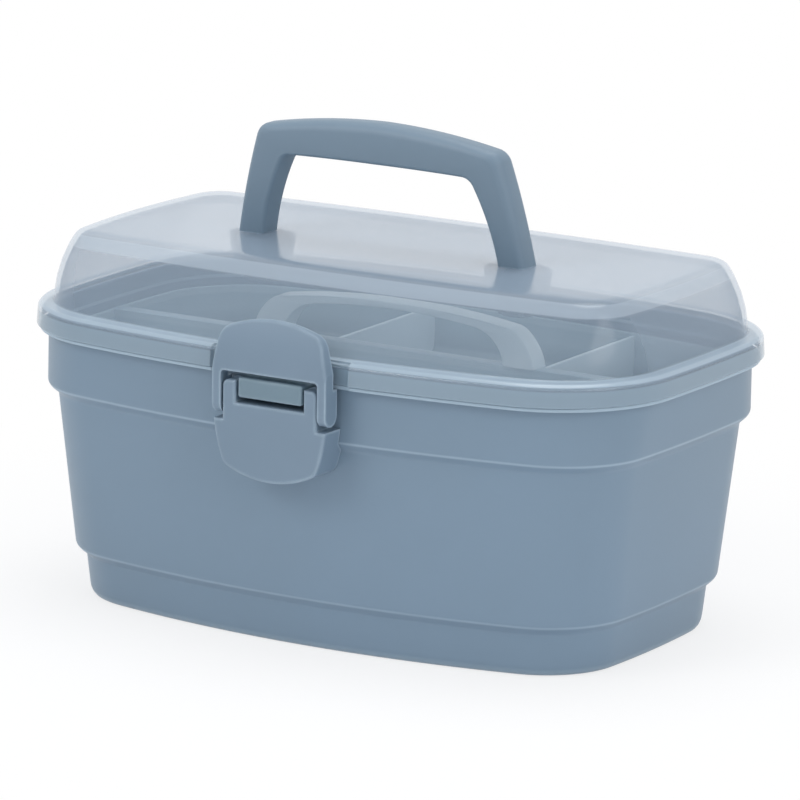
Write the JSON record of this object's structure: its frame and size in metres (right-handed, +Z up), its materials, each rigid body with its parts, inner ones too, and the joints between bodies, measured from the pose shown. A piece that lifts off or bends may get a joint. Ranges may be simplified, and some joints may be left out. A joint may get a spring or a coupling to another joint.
{
  "type": "makeup storage case with handle",
  "caption": "Moulded carry case: deep tub, see-through hinged lid with arched carry handle, front swing latch and lift-out divided tray with its own handle.",
  "frame": {"origin": "middle of the tub's underside, on the surface the case stands on", "axes": "+X along the length to the right when facing the latch, -Y towards the latch, +Z up"},
  "size_m": [0.2898, 0.1978, 0.201],
  "materials": {
    "tub_plastic": "moulded polypropylene, blue-grey, soft sheen",
    "lid_plastic": "translucent smoke-blue polypropylene, smooth",
    "handle_plastic": "moulded polypropylene, blue-grey, satin",
    "tray_plastic": "moulded polypropylene, pale blue-grey, satin",
    "pin_metal": "plain steel pin"
  },
  "bodies": {
    "tub": {"tub": "tub_plastic", "latch_bracket": "handle_plastic", "hinge_pin_left": "pin_metal", "hinge_pin_right": "pin_metal"},
    "lid": {"lid": "lid_plastic", "carry_handle": "handle_plastic", "handle_socket_left": "lid_plastic", "handle_socket_right": "lid_plastic"},
    "latch_lever": {"latch_lever": "handle_plastic"},
    "tray": {"tray": "tray_plastic", "tray_handle": "tray_plastic"}
  },
  "joints": [
    {"name": "lid_hinge", "type": "hinge", "parent": "tub", "child": "lid", "pos_m": [0, 0.0955, 0.113], "axis": [-1, 0, 0], "range_deg": [0, 100]},
    {"name": "latch_hinge", "type": "hinge", "parent": "tub", "child": "latch_lever", "pos_m": [0, -0.0935, 0.1013], "axis": [1, 0, 0], "range_deg": [0, 95]},
    {"name": "tray_lift", "type": "slide", "parent": "tub", "child": "tray", "axis": [0, 0, 1], "range_m": [0, 0.09]}
  ],
  "couplings": [
    {"joint": "tray_lift", "follows": "lid_hinge", "m_per_rad": 0.05}
  ]
}
